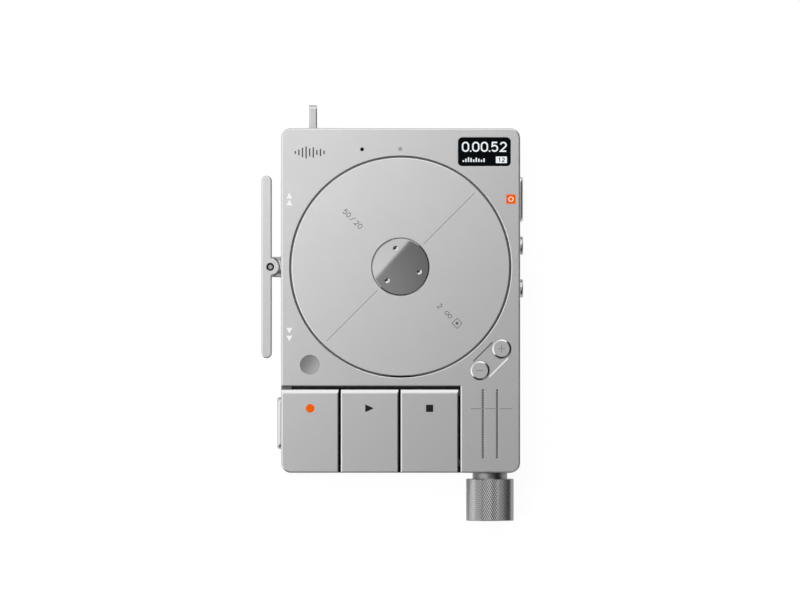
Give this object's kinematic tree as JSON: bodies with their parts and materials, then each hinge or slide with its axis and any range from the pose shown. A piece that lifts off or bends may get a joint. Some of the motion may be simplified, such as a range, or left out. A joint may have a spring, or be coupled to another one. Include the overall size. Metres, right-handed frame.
{
  "type": "handheld digital recorder",
  "caption": "Flat metal pocket recorder with a motor-driven reel, a side rocker, hinged transport keys, push buttons, a small display and a knurled level knob.",
  "frame": {"origin": "centre of the case's back face", "axes": "+X to the right of the front face, +Y to its top, +Z out of the front face"},
  "size_m": [0.073, 0.1159, 0.0164],
  "materials": {
    "silver_aluminium": "bead-blasted satin",
    "reel_aluminium": "bead-blasted satin",
    "grey_metal": "satin",
    "knurled_metal": "knurled",
    "polished_metal": "polished",
    "dark_metal": "dark satin",
    "steel": "plain",
    "bright_steel": "polished",
    "brass": "turned",
    "copper_wire": "enamelled wire",
    "magnet": "plain",
    "battery_foil": "foil",
    "black_glass": "gloss",
    "black_plastic": "matte",
    "smoked_plastic": "gloss",
    "clear_plastic": "frosted",
    "circuit_board": "matte"
  },
  "bodies": {
    "case": {"front_case": "silver_aluminium", "rear_cover": "silver_aluminium", "cover_screws": "steel", "reel_deck": "dark_metal", "deck_screws": "steel", "bearing_housing": "silver_aluminium", "shaft_bushes": "brass", "motor_stator": "steel", "stator_coils": "copper_wire", "main_board": "circuit_board", "battery": "battery_foil", "speaker": "black_plastic", "display_window": "black_glass", "display_module": "black_plastic", "sensor_board": "circuit_board", "microphone": "black_plastic", "status_lamp": "clear_plastic", "meter_light_guides": "smoked_plastic", "meter_board": "circuit_board", "key_tray": "black_plastic", "key_hinge_rod": "steel", "tray_screws": "steel", "record_key_spring": "steel", "play_key_spring": "steel", "stop_key_spring": "steel", "key_switches": "black_plastic", "rocker_bracket": "silver_aluminium", "rocker_pivot_screw": "steel", "volume_board": "circuit_board", "mode_board": "circuit_board", "front_switches": "black_plastic", "right_switch_board": "circuit_board", "left_switch_board": "circuit_board", "side_switches": "black_plastic", "level_control": "black_plastic", "knob_bush": "brass", "line_sockets": "black_plastic", "usb_socket": "steel", "strap_loop": "silver_aluminium", "strap_loop_retainer": "steel"},
    "reel": {"reel_disc": "reel_aluminium", "hub_cap": "polished_metal", "hub_screws": "bright_steel", "reel_shaft": "steel", "reel_carrier": "silver_aluminium", "rotor_bell": "steel", "rotor_magnet": "magnet"},
    "rocker": {"rocker_lever": "silver_aluminium"},
    "record_key_body": {"record_key": "silver_aluminium"},
    "play_key_body": {"play_key": "silver_aluminium"},
    "stop_key_body": {"stop_key": "silver_aluminium"},
    "plus": {"plus_button": "silver_aluminium"},
    "minus": {"minus_button": "silver_aluminium"},
    "mode": {"mode_button": "grey_metal"},
    "memo": {"memo_key": "silver_aluminium"},
    "upper_side": {"upper_side_button": "silver_aluminium"},
    "lower_side": {"lower_side_button": "silver_aluminium"},
    "left_side": {"left_side_key": "silver_aluminium"},
    "knob": {"level_knob": "knurled_metal", "knob_shaft": "dark_metal"}
  },
  "joints": [
    {"name": "reel_spin", "type": "hinge", "parent": "case", "child": "reel", "pos_m": [0, 0.00935, 0.016], "axis": [0, 0, 1], "continuous": true},
    {"name": "rocker_tilt", "type": "hinge", "parent": "case", "child": "rocker", "pos_m": [-0.0363, 0.00935, 0.008], "axis": [0, 0, 1], "range_deg": [-4, 4], "stiffness_Nm_per_rad": 0.05},
    {"name": "record_key_press", "type": "hinge", "parent": "case", "child": "record_key_body", "pos_m": [0, -0.02267, 0.0124], "axis": [1, 0, 0], "range_deg": [0, 1.8], "stiffness_Nm_per_rad": 0.3, "springref_deg": -1.72, "deforming": ["record_key_spring"]},
    {"name": "play_key_press", "type": "hinge", "parent": "case", "child": "play_key_body", "pos_m": [0, -0.02267, 0.0124], "axis": [1, 0, 0], "range_deg": [0, 1.8], "stiffness_Nm_per_rad": 0.3, "springref_deg": -1.72, "deforming": ["play_key_spring"]},
    {"name": "stop_key_press", "type": "hinge", "parent": "case", "child": "stop_key_body", "pos_m": [0, -0.02267, 0.0124], "axis": [1, 0, 0], "range_deg": [0, 1.8], "stiffness_Nm_per_rad": 0.3, "springref_deg": -1.72, "deforming": ["stop_key_spring"]},
    {"name": "plus_press", "type": "slide", "parent": "case", "child": "plus", "axis": [0, 0, -1], "range_m": [0, 0.0005], "stiffness_N_per_m": 600, "springref_m": -0.0005},
    {"name": "minus_press", "type": "slide", "parent": "case", "child": "minus", "axis": [0, 0, -1], "range_m": [0, 0.0005], "stiffness_N_per_m": 600, "springref_m": -0.0005},
    {"name": "mode_press", "type": "slide", "parent": "case", "child": "mode", "axis": [0, 0, -1], "range_m": [0, 0.0005], "stiffness_N_per_m": 600, "springref_m": -0.0005},
    {"name": "memo_press", "type": "slide", "parent": "case", "child": "memo", "axis": [-1, 0, 0], "range_m": [0, 0.0005], "stiffness_N_per_m": 600, "springref_m": -0.0005},
    {"name": "upper_side_press", "type": "slide", "parent": "case", "child": "upper_side", "axis": [-1, 0, 0], "range_m": [0, 0.0005], "stiffness_N_per_m": 600, "springref_m": -0.0005},
    {"name": "lower_side_press", "type": "slide", "parent": "case", "child": "lower_side", "axis": [-1, 0, 0], "range_m": [0, 0.0005], "stiffness_N_per_m": 600, "springref_m": -0.0005},
    {"name": "left_side_press", "type": "slide", "parent": "case", "child": "left_side", "axis": [1, 0, 0], "range_m": [0, 0.0005], "stiffness_N_per_m": 600, "springref_m": -0.0005},
    {"name": "knob_turn", "type": "hinge", "parent": "case", "child": "knob", "pos_m": [0.0249, -0.0555, 0.008], "axis": [0, 1, 0], "range_deg": [-150, 150]}
  ]
}
